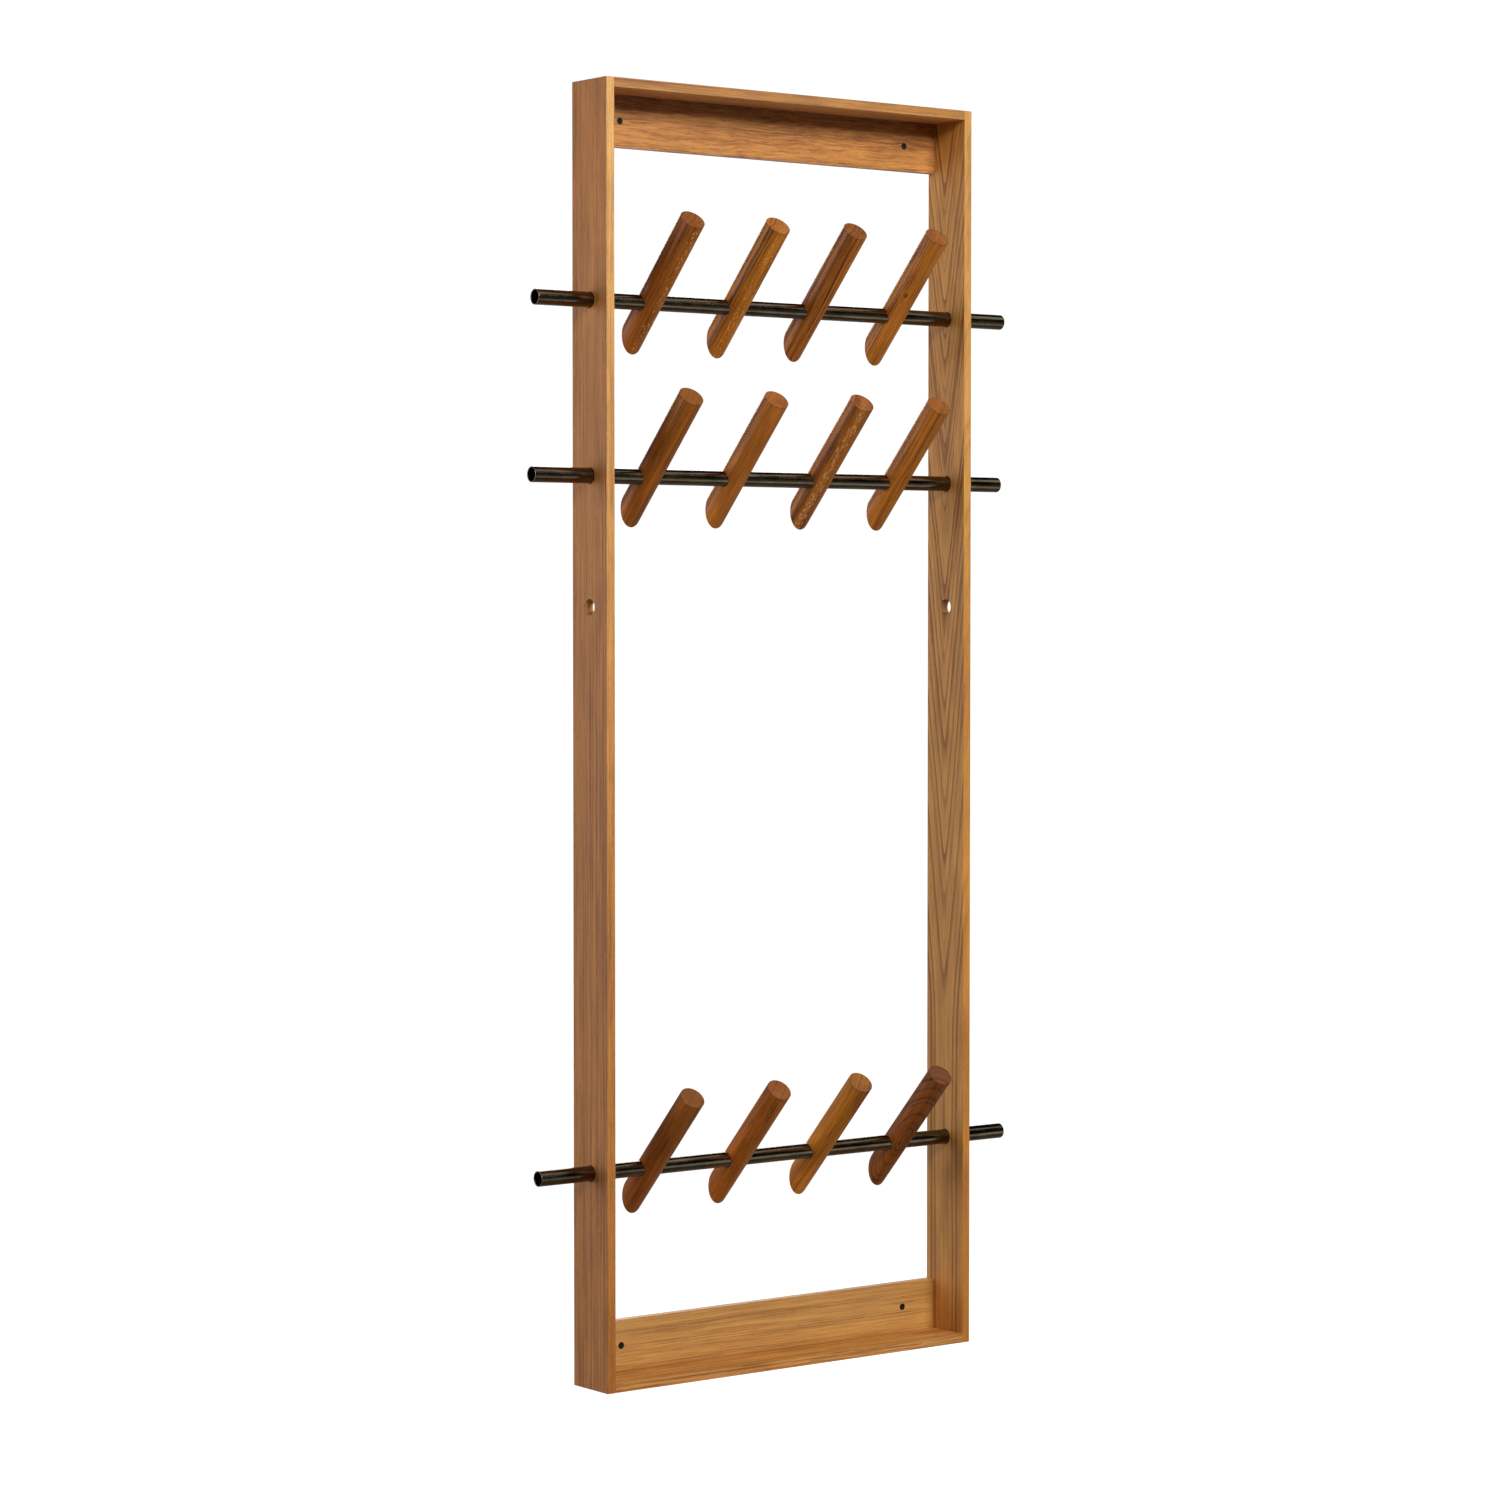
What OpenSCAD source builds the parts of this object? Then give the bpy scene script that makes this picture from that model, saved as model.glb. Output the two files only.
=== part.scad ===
// Wall coat rack: an open oak frame with steel tubes through its sides.
// Each tube carries round wooden pegs that tilt on it and rest against the wall.
// Millimetres. X is to the right as seen from the front, Y goes into the wall, Z is up.
// The origin is on the wall plane, at the centre of the four wall screws.

/* [Frame] */
// Height of the side boards
frame_h = 1500; // [1100:10:2000]
// Width over the side boards
frame_w = 540; // [440:10:800]
// Depth of the boards from the wall to the front
frame_d = 68; // [56:1:120]
// Thickness of the four frame boards
board_t = 11; // [10:1:20]
// Height of each back rail
rail_h = 60; // [40:1:120]
// Thickness of each back rail
rail_t = 11; // [9:1:18]

/* [Tubes] */
// Outside diameter of the tubes
tube_d = 18; // [14:1:24]
// Wall of the tubes
tube_wall = 1.5; // [1:0.1:3]
// Length of tube standing out past each side board
tube_overhang = 75; // [30:1:150]
// Distance from the wall to the tube axes
tube_to_wall = 34; // [26:1:40]
// Radial clearance of a tube in the side boards
tube_slack = 0.5; // [0.1:0.05:1]
// Distance from the frame's top to the top tube
top_tube_drop = 250; // [230:5:300]
// Distance from the top tube down to the middle tube
middle_tube_drop = 200; // [190:5:300]
// Distance from the middle tube down to the spare pair of holes
spare_hole_drop = 150; // [60:5:200]
// Distance from the frame's bottom to the bottom tube
bottom_tube_rise = 250; // [180:5:260]
// How far the top tube stands off centre along X
top_tube_shift = 0; // [-20:1:20]
// How far the middle tube stands off centre along X
middle_tube_shift = -5; // [-20:1:20]
// How far the bottom tube stands off centre along X
bottom_tube_shift = 2; // [-20:1:20]

/* [Pegs] */
// Diameter of the pegs
peg_d = 30; // [25:1:36]
// Distance along a peg from the tube axis to its upper end
peg_reach = 123; // [80:1:160]
// Lean of a resting peg from the vertical, in degrees
peg_lean = 43.5; // [35:0.5:55]
// Radial clearance of a peg on its tube
peg_slack = 0.1; // [0.05:0.01:0.3]
// Distance from a side board's inner face to the nearest peg's even place
peg_margin = 76; // [50:1:90]

/* [Fixings] */
// Thread diameter of the wall screws
screw_d = 4; // [3.5:0.5:6]
// Diameter of the smooth shank under the head
screw_shank_d = 3; // [2:0.1:3.2]
// Head diameter of the wall screws
screw_head_d = 8; // [7:0.5:12]
// Height of the countersunk head
screw_head_h = 2.4; // [2:0.1:3.5]
// Length of the wall screws
screw_len = 40; // [30:1:80]
// Length of the point of a wall screw
screw_tip = 6; // [4:0.5:8]
// Distance from a side board's inner face to the nearest wall screw
screw_margin = 48; // [20:1:100]
// Radial clearance of a wall screw in its rail
screw_slack = 0.25; // [0.1:0.05:0.5]
// Diameter of the hidden dowels
dowel_d = 6; // [4:1:7]
// Length of the hidden dowels
dowel_len = 28; // [20:1:40]
// Depth of a dowel in the side board
dowel_bite = 7; // [5:0.5:8]
// Distance from a board's long edge to its nearest dowel
dowel_margin = 16; // [10:1:22]
// Radial and end clearance of a dowel, filled with glue
dowel_slack = 0.05; // [0.02:0.01:0.2]

/* [Hidden] */
$fn = 64;

// Small overrun that lets a cut pass clean through a face
cut = 1;

// Frame edges
top_z = frame_h / 2;
bottom_z = -frame_h / 2;
inner_x = frame_w / 2 - board_t;

// Tube heights and the spare holes' height
top_tube_z = top_z - top_tube_drop;
middle_tube_z = top_tube_z - middle_tube_drop;
spare_hole_z = middle_tube_z - spare_hole_drop;
bottom_tube_z = bottom_z + bottom_tube_rise;
tube_y = -tube_to_wall;
tube_len = frame_w + 2 * tube_overhang;
tube_hole_d = tube_d + 2 * tube_slack;

// Even places of the pegs on a tube, then how far each one has been slid from its place
pegs_per_tube = 4;
peg_pitch = 2 * (inner_x - peg_margin) / (pegs_per_tube - 1);
function even_place(i) = (i - (pegs_per_tube - 1) / 2) * peg_pitch;
top_peg_slides = [-3, -3, -11, -9];
middle_peg_slides = [-5, -5, -1, -6];
bottom_peg_slides = [-4, -1, -2, -2];
// Length below the tube axis that always reaches past the wall plane
peg_tail = (tube_to_wall + peg_d) / sin(peg_lean);

// Rails and the wall screws at their mid-height
top_rail_z = top_z - board_t - rail_h / 2;
bottom_rail_z = bottom_z + board_t + rail_h / 2;
screw_x = inner_x - screw_margin;
screw_hole_d = screw_d + 2 * screw_slack;
recess_w = 0.9;
recess_span = screw_head_d * 0.55;
recess_depth = screw_head_h * 0.6;

// Dowels: rows across a board's depth and up a rail's height
dowel_hole_d = dowel_d + 2 * dowel_slack;
board_dowel_ys = [-dowel_margin, dowel_margin - frame_d];
rail_dowel_rise = rail_h / 2 - dowel_margin;
rail_dowel_y = -rail_t / 2;
top_board_z = top_z - board_t / 2;
bottom_board_z = bottom_z + board_t / 2;

oak = "#b98552";
oak_side = "#a9764a";
oak_peg = "#8a5230";
steel = "#2b2622";
screw_black = "#151515";
beech = "#d9b98c";

// A box from its low corner to its high corner
module box_between(low, high) {
    translate(low) cube(high - low);
}

// A round bar or hole along X, centred on its own length
module along_x(d, len) {
    rotate([0, 90, 0]) cylinder(d = d, h = len, center = true);
}

// Places of the dowels of one board end and of one rail end
function board_dowel_places(z) = [for (y = board_dowel_ys) [y, z]];
function rail_dowel_places(z) = [for (s = [-1, 1]) [rail_dowel_y, z + s * rail_dowel_rise]];
all_dowel_places = concat(
    board_dowel_places(top_board_z), board_dowel_places(bottom_board_z),
    rail_dowel_places(top_rail_z), rail_dowel_places(bottom_rail_z)
);

// The dowels at both ends of one board or rail; grow widens and lengthens them into holes
module dowel_set(places, grow = 0) {
    for (side = [-1, 1])
        for (p = places)
            translate([side * (inner_x + dowel_bite - dowel_len / 2), p[0], p[1]])
                along_x(dowel_d + 2 * grow, dowel_len + 2 * grow);
}

module side_board(side) {
    color(oak_side)
    difference() {
        box_between(
            [side > 0 ? inner_x : -frame_w / 2, -frame_d, bottom_z],
            [side > 0 ? frame_w / 2 : -inner_x, 0, top_z]
        );
        for (z = [top_tube_z, middle_tube_z, spare_hole_z, bottom_tube_z])
            translate([side * (inner_x + board_t / 2), tube_y, z])
                along_x(tube_hole_d, board_t + 2 * cut);
        dowel_set(all_dowel_places, dowel_slack);
    }
}

// Top or bottom board, held between the side boards at the centre height z
module end_board(z) {
    color(oak)
    difference() {
        box_between([-inner_x, -frame_d, z - board_t / 2], [inner_x, 0, z + board_t / 2]);
        dowel_set(board_dowel_places(z), dowel_slack);
    }
}

// Back rail at the centre height z, drilled and countersunk for two wall screws
module back_rail(z) {
    color(oak)
    difference() {
        box_between([-inner_x, -rail_t, z - rail_h / 2], [inner_x, 0, z + rail_h / 2]);
        for (side = [-1, 1])
            translate([side * screw_x, -rail_t, z])
                screw_hole();
        dowel_set(rail_dowel_places(z), dowel_slack);
    }
}

// Clearance hole and countersink, from the rail's face at y = 0 towards +Y
module screw_hole() {
    rotate([-90, 0, 0]) {
        translate([0, 0, -cut])
            cylinder(d = screw_hole_d, h = rail_t + 2 * cut);
        cylinder(d1 = screw_head_d + 2 * screw_slack, d2 = screw_hole_d, h = screw_head_h);
    }
}

// Countersunk screw with a cross recess, its head flush with the rail's face.
// The shank is smooth through the rail and threaded from the wall plane on.
module wall_screw(side, z) {
    color(screw_black)
    translate([side * screw_x, -rail_t, z])
        rotate([-90, 0, 0])
            difference() {
                union() {
                    cylinder(d1 = screw_head_d, d2 = screw_shank_d, h = screw_head_h);
                    cylinder(d = screw_shank_d, h = rail_t + cut);
                    translate([0, 0, rail_t])
                        cylinder(d = screw_d, h = screw_len - screw_tip - rail_t);
                    translate([0, 0, screw_len - screw_tip])
                        cylinder(d1 = screw_d, d2 = screw_d / 8, h = screw_tip);
                }
                for (turn = [45, 135])
                    rotate([0, 0, turn])
                        translate([-recess_span / 2, -recess_w / 2, -cut])
                            cube([recess_span, recess_w, recess_depth + cut]);
            }
}

// Steel tube through both side boards
module tube(z, shift) {
    color(steel)
    translate([shift, tube_y, z])
        difference() {
            along_x(tube_d, tube_len);
            along_x(tube_d - 2 * tube_wall, tube_len + 2 * cut);
        }
}

// Round peg, square at its upper end and cut off by the wall plane at its lower end
module peg(z, i, slides) {
    color(oak_peg)
    translate([even_place(i) + slides[i], tube_y, z])
        difference() {
            rotate([peg_lean, 0, 0])
                translate([0, 0, -peg_tail])
                    cylinder(d = peg_d, h = peg_tail + peg_reach);
            translate([-peg_d, tube_to_wall, -2 * peg_tail])
                cube([2 * peg_d, 2 * peg_tail, 4 * peg_tail]);
            along_x(tube_d + 2 * peg_slack, peg_d + 2 * cut);
        }
}

module dowels(places) {
    color(beech) dowel_set(places);
}

side_board(-1);  // left_side_board
side_board(1);  // right_side_board
end_board(top_board_z);  // top_board
end_board(bottom_board_z);  // bottom_board
back_rail(top_rail_z);  // top_back_rail
back_rail(bottom_rail_z);  // bottom_back_rail
tube(top_tube_z, top_tube_shift);  // top_tube
tube(middle_tube_z, middle_tube_shift);  // middle_tube
tube(bottom_tube_z, bottom_tube_shift);  // bottom_tube
peg(top_tube_z, 0, top_peg_slides);  // top_peg_1
peg(top_tube_z, 1, top_peg_slides);  // top_peg_2
peg(top_tube_z, 2, top_peg_slides);  // top_peg_3
peg(top_tube_z, 3, top_peg_slides);  // top_peg_4
peg(middle_tube_z, 0, middle_peg_slides);  // middle_peg_1
peg(middle_tube_z, 1, middle_peg_slides);  // middle_peg_2
peg(middle_tube_z, 2, middle_peg_slides);  // middle_peg_3
peg(middle_tube_z, 3, middle_peg_slides);  // middle_peg_4
peg(bottom_tube_z, 0, bottom_peg_slides);  // bottom_peg_1
peg(bottom_tube_z, 1, bottom_peg_slides);  // bottom_peg_2
peg(bottom_tube_z, 2, bottom_peg_slides);  // bottom_peg_3
peg(bottom_tube_z, 3, bottom_peg_slides);  // bottom_peg_4
wall_screw(-1, top_rail_z);  // top_left_wall_screw
wall_screw(1, top_rail_z);  // top_right_wall_screw
wall_screw(-1, bottom_rail_z);  // bottom_left_wall_screw
wall_screw(1, bottom_rail_z);  // bottom_right_wall_screw
dowels(board_dowel_places(top_board_z));  // top_board_dowels
dowels(board_dowel_places(bottom_board_z));  // bottom_board_dowels
dowels(rail_dowel_places(top_rail_z));  // top_rail_dowels
dowels(rail_dowel_places(bottom_rail_z));  // bottom_rail_dowels
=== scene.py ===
"""Looks for the oak wall coat rack: materials, eased edges, threaded wall screws, light and camera.

Metres, in the row frame: +X right as seen from the front, +Y into the wall, +Z up.
Texture coordinates inside the wood materials are millimetres from each piece's own centre.
"""

import math

import bmesh
import bpy
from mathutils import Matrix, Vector


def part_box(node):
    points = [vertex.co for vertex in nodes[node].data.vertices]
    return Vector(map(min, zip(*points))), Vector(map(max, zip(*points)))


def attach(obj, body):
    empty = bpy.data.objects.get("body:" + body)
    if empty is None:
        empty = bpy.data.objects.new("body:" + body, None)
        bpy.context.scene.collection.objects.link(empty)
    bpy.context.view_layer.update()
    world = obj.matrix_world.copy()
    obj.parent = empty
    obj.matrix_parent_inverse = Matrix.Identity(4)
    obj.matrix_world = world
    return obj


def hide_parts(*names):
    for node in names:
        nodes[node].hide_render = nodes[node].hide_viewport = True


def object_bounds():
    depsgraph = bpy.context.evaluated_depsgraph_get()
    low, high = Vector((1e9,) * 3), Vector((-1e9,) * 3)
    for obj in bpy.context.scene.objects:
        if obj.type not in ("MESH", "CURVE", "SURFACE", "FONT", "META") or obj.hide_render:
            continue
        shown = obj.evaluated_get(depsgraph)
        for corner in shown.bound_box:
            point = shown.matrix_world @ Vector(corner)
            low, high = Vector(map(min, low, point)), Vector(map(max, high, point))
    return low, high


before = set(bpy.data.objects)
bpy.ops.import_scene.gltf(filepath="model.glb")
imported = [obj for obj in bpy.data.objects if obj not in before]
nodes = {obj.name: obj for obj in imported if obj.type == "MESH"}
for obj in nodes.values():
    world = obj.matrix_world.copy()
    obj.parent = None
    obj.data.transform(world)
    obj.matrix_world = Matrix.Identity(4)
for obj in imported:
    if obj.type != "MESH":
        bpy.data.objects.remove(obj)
cad_low, cad_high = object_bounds()

# The frame is in metres. Lengths in this script are millimetres, and MM turns them into metres.
MM = 0.001
PEG_LEAN = math.radians(43.5)
PEG_RADIUS = 15.0
PEG_REACH = 123.0
ROWS = ("top", "middle", "bottom")

# ---------------------------------------------------------------- camera

# Place in metres, and lens and sensor in millimetres
CAMERA_PLACE = (-2.8581, -3.7674, 0.1555)
CAMERA_YAW = math.radians(37.04)
CAMERA_PITCH = math.radians(-2.13)
CAMERA_LENS = 95.3
SENSOR_WIDTH = 36

camera = bpy.data.objects.new("camera", bpy.data.cameras.new("camera"))
bpy.context.scene.collection.objects.link(camera)
camera.data.sensor_width = SENSOR_WIDTH
camera.data.lens = CAMERA_LENS
camera.data.clip_end = 100
camera.location = CAMERA_PLACE
camera.rotation_euler = (math.pi / 2 + CAMERA_PITCH, 0, -CAMERA_YAW)
bpy.context.scene.camera = camera


# ---------------------------------------------------------------- shader graph helper

class Graph:
    """Builds one material. Every method returns an output socket, and takes sockets or plain values."""

    def __init__(self, name):
        self.material = bpy.data.materials.new(name)
        self.material.use_nodes = True
        self.tree = self.material.node_tree
        self.tree.nodes.clear()

    def feed(self, socket, value):
        if isinstance(value, bpy.types.NodeSocket):
            self.tree.links.new(value, socket)
        elif value is not None:
            socket.default_value = value

    def node(self, kind, inputs=None, **settings):
        made = self.tree.nodes.new(kind)
        for key, value in settings.items():
            setattr(made, key, value)
        for key, value in (inputs or {}).items():
            self.feed(made.inputs[key], value)
        return made

    def math(self, operation, a, b=None, c=None, clamp=False):
        made = self.node("ShaderNodeMath", {0: a, 1: b, 2: c}, operation=operation, use_clamp=clamp)
        return made.outputs[0]

    def add(self, a, b):
        return self.math("ADD", a, b)

    def sub(self, a, b):
        return self.math("SUBTRACT", a, b)

    def mul(self, a, b):
        return self.math("MULTIPLY", a, b)

    def span(self, value, low, high, to_low=0.0, to_high=1.0, smooth=True):
        """Maps value from low..high to to_low..to_high, held at the ends."""
        made = self.node(
            "ShaderNodeMapRange",
            {0: value, 1: low, 2: high, 3: to_low, 4: to_high},
            interpolation_type="SMOOTHSTEP" if smooth else "LINEAR",
        )
        return made.outputs[0]

    def vector(self, x, y, z):
        return self.node("ShaderNodeCombineXYZ", {0: x, 1: y, 2: z}).outputs[0]

    def parts(self, vector):
        return self.node("ShaderNodeSeparateXYZ", {0: vector}).outputs

    def stretched(self, vector, sizes, detail=2.0, roughness=0.5, output="Fac"):
        """Noise whose features measure about sizes millimetres along each axis."""
        scaled = self.node(
            "ShaderNodeVectorMath",
            {0: vector, 1: tuple(1.0 / s for s in sizes)},
            operation="MULTIPLY",
        ).outputs[0]
        made = self.node(
            "ShaderNodeTexNoise",
            {"Vector": scaled, "Scale": 1.0, "Detail": detail, "Roughness": roughness},
        )
        return made.outputs[output]

    def noise_1d(self, value, scale=1.0, detail=1.0):
        made = self.node(
            "ShaderNodeTexNoise", {"W": value, "Scale": scale, "Detail": detail}, noise_dimensions="1D"
        )
        return made.outputs["Fac"]

    def ramp(self, value, stops):
        """stops are (place, grey) pairs in rising order."""
        made = self.node("ShaderNodeValToRGB", {0: value})
        elements = made.color_ramp.elements
        while len(elements) < len(stops):
            elements.new(0.5)
        for element, (place, grey) in zip(elements, stops):
            element.position = place
            element.color = (grey, grey, grey, 1)
        return made.outputs[0]

    def mix(self, factor, a, b, blend="MIX"):
        made = self.node("ShaderNodeMix", {0: factor}, data_type="RGBA", blend_type=blend)
        self.feed(made.inputs[6], a)
        self.feed(made.inputs[7], b)
        return made.outputs[2]

    def place(self, centre, turn=(0, 0, 0)):
        """Object coordinates as millimetres from centre, in axes turned by turn."""
        coordinates = self.node("ShaderNodeTexCoord").outputs["Object"]
        return self.node(
            "ShaderNodeMapping",
            {"Vector": coordinates, "Location": tuple(centre), "Rotation": turn, "Scale": (MM, MM, MM)},
            vector_type="TEXTURE",
        ).outputs[0]

    def bump(self, height, distance, strength=1.0):
        return self.node(
            "ShaderNodeBump", {"Height": height, "Distance": distance, "Strength": strength}
        ).outputs["Normal"]

    def surface(self, base, roughness, normal, **constants):
        """The finished material. constants are further inputs of the shader, with _ for each space."""
        shader = self.node(
            "ShaderNodeBsdfPrincipled", {"Base Color": base, "Roughness": roughness, "Normal": normal}
        )
        for key, value in constants.items():
            shader.inputs[key.replace("_", " ")].default_value = value
        out = self.node("ShaderNodeOutputMaterial")
        self.tree.links.new(shader.outputs[0], out.inputs[0])
        return self.material


def colour(red, green, blue):
    """A display colour, 0 to 255, as the linear colour that the shaders take."""

    def linear(value):
        value = value / 255
        return value / 12.92 if value <= 0.04045 else ((value + 0.055) / 1.055) ** 2.4

    return (linear(red), linear(green), linear(blue), 1)


# ---------------------------------------------------------------- oak

# Darkness across one year ring: the porous early wood, then the smooth late wood
RING_PROFILE = (
    (0.0, 0.75), (0.10, 1.0), (0.24, 0.55), (0.45, 0.18), (0.75, 0.05), (0.93, 0.22), (1.0, 0.75),
)
# How far rings wander from even spacing, in rings
RING_UNEVENNESS = 2.4

# Sizes of the grain's features as (across, deep, along) in mm
FIBRE_SIZE = (0.5, 0.5, 15.0)
PORE_SIZE = (0.45, 0.45, 6.5)
FLECK_SIZE = (0.9, 0.9, 5.0)
RAY_PATCH_SIZE = (4.0, 4.0, 26.0)
CLOUD_SIZE = (14.0, 14.0, 70.0)
TONE_SIZE = (38.0, 38.0, 240.0)
BAND_WIDTH = 3.4
BOARD_BEND_SIZE = (60.0, 60.0, 420.0)
PEG_BEND_SIZE = (18.0, 18.0, 60.0)

# V grain: the height where its sides stop changing slope, and how round its point is, in mm
V_TOP = 500.0
V_ROUNDING = 3.0

GRAIN_RELIEF = 0.22 * MM


def oak_fields(g, b, look):
    """The figure of solid oak, one field of each kind, from board coordinates b = (across, deep, along)."""
    across, deep, along = g.parts(b)
    wander_a, wander_d, _ = g.parts(g.stretched(b, look["wander_size"], 1.5, output="Color"))
    ripple = g.sub(g.stretched(b, look["ripple_size"], 2.0), 0.5)
    shift_a = g.add(g.mul(g.sub(wander_a, 0.5), look["wander"]), g.mul(ripple, look["ripple"]))
    shift_d = g.mul(g.sub(wander_d, 0.5), look["wander"])
    across = g.add(across, shift_a)
    deep = g.add(deep, shift_d)
    grain = g.vector(across, deep, along)
    a = g.sub(across, look["pith"][0])
    d = g.sub(deep, look["pith"][1])
    if look.get("v_slope"):
        # Cathedral grain: rings climb along the board, steeply at the middle of the face
        lower = g.math("SMOOTH_MAX", along, look["v_from"], 60.0)
        upper = g.math("SMOOTH_MAX", along, look["v_steeper"], 80.0)
        climb = g.mul(g.add(lower, g.mul(upper, 0.35)), -look["v_slope"])
        blunt = g.math("SQRT", g.add(g.mul(a, a), V_ROUNDING ** 2))
        spread = g.span(along, look["v_from"], V_TOP, look["v_side"], look["v_side_top"], smooth=False)
        r = g.add(g.add(climb, g.mul(blunt, spread)), g.mul(d, 0.4))
    elif look.get("eye"):
        # Nested arches round the place where a ring just touches the surface
        place, height, squeeze = look["eye"]
        side, rise = g.sub(across, place), g.mul(g.sub(along, height), squeeze)
        r = g.add(g.math("SQRT", g.add(g.mul(side, side), g.mul(rise, rise))), g.mul(deep, 0.35))
    else:
        tilted = g.add(a, g.mul(along, look["tilt"]))
        r = g.math("SQRT", g.add(g.mul(tilted, tilted), g.mul(d, d)))
    uneven = g.mul(g.noise_1d(r, 0.45 / look["ring"], 2.0), RING_UNEVENNESS)
    phase = g.add(g.mul(r, 1.0 / look["ring"]), uneven)
    ring = g.ramp(g.math("FRACT", phase), RING_PROFILE)
    gain = g.span(g.noise_1d(g.math("FLOOR", phase), 3.7, 0.0), 0.32, 0.68, 0.1, 1.0)
    ring = g.mul(ring, gain)
    band = g.sub(g.stretched(grain, (BAND_WIDTH, BAND_WIDTH, look["band_length"]), 2.0, 0.6), 0.5)
    wide = look["streak_width"]
    streak = g.sub(g.stretched(grain, (wide, wide, look["streak_length"]), 3.0, 0.65), 0.5)
    fibre = g.sub(g.stretched(grain, FIBRE_SIZE, 2.0, 0.6), 0.5)
    pore_field = g.stretched(grain, PORE_SIZE, 1.0)
    pore = g.mul(g.span(pore_field, 0.56, 0.68), g.add(g.mul(ring, 0.9), 0.3))
    fleck = g.span(g.stretched(grain, FLECK_SIZE, 1.0), 0.62, 0.72)
    ray_patch = g.span(g.stretched(b, RAY_PATCH_SIZE, 1.0), look["ray_gate"], look["ray_gate"] + 0.12)
    ray = g.mul(g.span(g.stretched(b, look["ray_size"], 1.0), *look["ray_cut"]), ray_patch)
    tone = g.sub(g.stretched(b, TONE_SIZE, 2.0), 0.5)
    cloud = g.sub(g.stretched(grain, CLOUD_SIZE, 2.0), 0.5)
    return {
        "ring": ring, "band": band, "streak": streak, "fibre": fibre, "pore": pore,
        "fleck": fleck, "ray": ray, "tone": tone, "cloud": cloud,
    }


def oak_surface(g, f, look, edge, end, extra, painted_light_tints=()):
    """Oak from its fields f. edge and end are 1 on worn edges and end grain, and extra adds darkness.

    Each tint is a (where, colour) pair of painted light and shade: it multiplies the colour of the wood
    there, to make that face lighter, darker or paler than the lamps make it.
    """
    dark = g.add(look["base_dark"], g.mul(f["ring"], look["ring_dark"]))
    dark = g.add(dark, g.mul(f["band"], look["band_dark"]))
    dark = g.add(dark, g.mul(f["streak"], look["streak_dark"]))
    dark = g.add(dark, g.mul(f["fibre"], look["fibre_dark"]))
    dark = g.add(dark, g.mul(f["pore"], look["pore_dark"]))
    dark = g.add(dark, g.mul(f["cloud"], look["cloud_dark"]))
    dark = g.math("ADD", dark, extra, clamp=True)
    base = g.mix(dark, look["light"], look["dark"])
    base = g.mix(g.mul(f["ray"], look["ray"]), base, look["ray_colour"])
    toned = g.mix(g.span(f["tone"], -0.22, 0.22), look["tone_low"], look["tone_high"])
    base = g.mix(1.0, base, toned, "MULTIPLY")
    # Painted light and shade: the faces that the look lists are made lighter, darker or paler than the
    # lamps make them
    for facing, tint in painted_light_tints:
        base = g.mix(facing, base, tint, "MULTIPLY")
    base = g.mix(g.mul(end, look["end_mix"]), base, look["end_colour"])
    base = g.mix(g.mul(g.mul(end, f["ring"]), look["end_ring"]), base, look["end_dark"])
    base = g.mix(g.mul(edge, look["edge_mix"]), base, look["edge_colour"])
    rough = g.add(look["rough"], g.mul(f["streak"], 0.25))
    rough = g.add(rough, g.mul(f["pore"], 0.2))
    rough = g.add(rough, g.mul(edge, -0.06))
    height = g.sub(g.mul(f["fibre"], 0.5), g.mul(f["pore"], 0.8))
    height = g.sub(height, g.mul(f["ring"], 0.35))
    normal = g.bump(height, GRAIN_RELIEF, 0.7)
    return g.surface(
        base, rough, normal,
        IOR=1.46, Specular_IOR_Level=look["gloss"], Coat_Weight=look["coat"], Coat_Roughness=0.32,
    )


# A look's lengths are mm, and its other numbers are amounts of darkness, mixing factors or noise levels.
# pith is the trunk's centre (across, deep) from the board's, and shift moves the cut along the trunk.
BOARD_LOOK = {
    "pith": (-60.0, 40.0), "tilt": 0.004, "wander": 9.0, "wander_size": (80.0, 80.0, 420.0),
    "ripple": 1.2, "ripple_size": (7.0, 7.0, 60.0), "ring": 3.4, "shift": 0.0,
    "streak_width": 1.1, "streak_length": 80.0, "band_length": 170.0,
    "base_dark": 0.26, "ring_dark": 0.50, "band_dark": 1.1, "streak_dark": 1.6, "fibre_dark": 0.6,
    "pore_dark": 0.4, "cloud_dark": 0.7,
    "ray": 0.25, "ray_gate": 0.5, "ray_cut": (0.60, 0.68), "ray_size": (1.1, 2.6, 4.5),
    "ray_colour": colour(214, 158, 96),
    "tone_low": (0.88, 0.86, 0.84, 1), "tone_high": (1.0, 1.0, 1.0, 1),
    "end_mix": 0.35, "end_colour": colour(150, 98, 54), "end_ring": 0.3, "end_dark": colour(92, 54, 26),
    "edge_mix": 0.35, "edge_colour": colour(150, 96, 50),
    "rough": 0.48, "coat": 0.10, "gloss": 0.5,
    "stripes": (), "faces": (), "front_flecks": 0.0, "front_calm": 0.0,
}
BOARD_WEAR_WIDTH = 1.6

# How squarely a face's normal points one way, from not counted to fully counted
FACING = (0.7, 0.9)

STRIPE_FADE_ABOVE = 90
STRIPE_FADE_BELOW = 60
# A stripe that fades here runs past the end of every board and peg
PAST_END = 900


def nearness(g, distance, width):
    """1 at a face, 0 from width millimetres away."""
    return g.math("SUBTRACT", 1.0, g.mul(distance, 1.0 / width), clamp=True)


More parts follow.
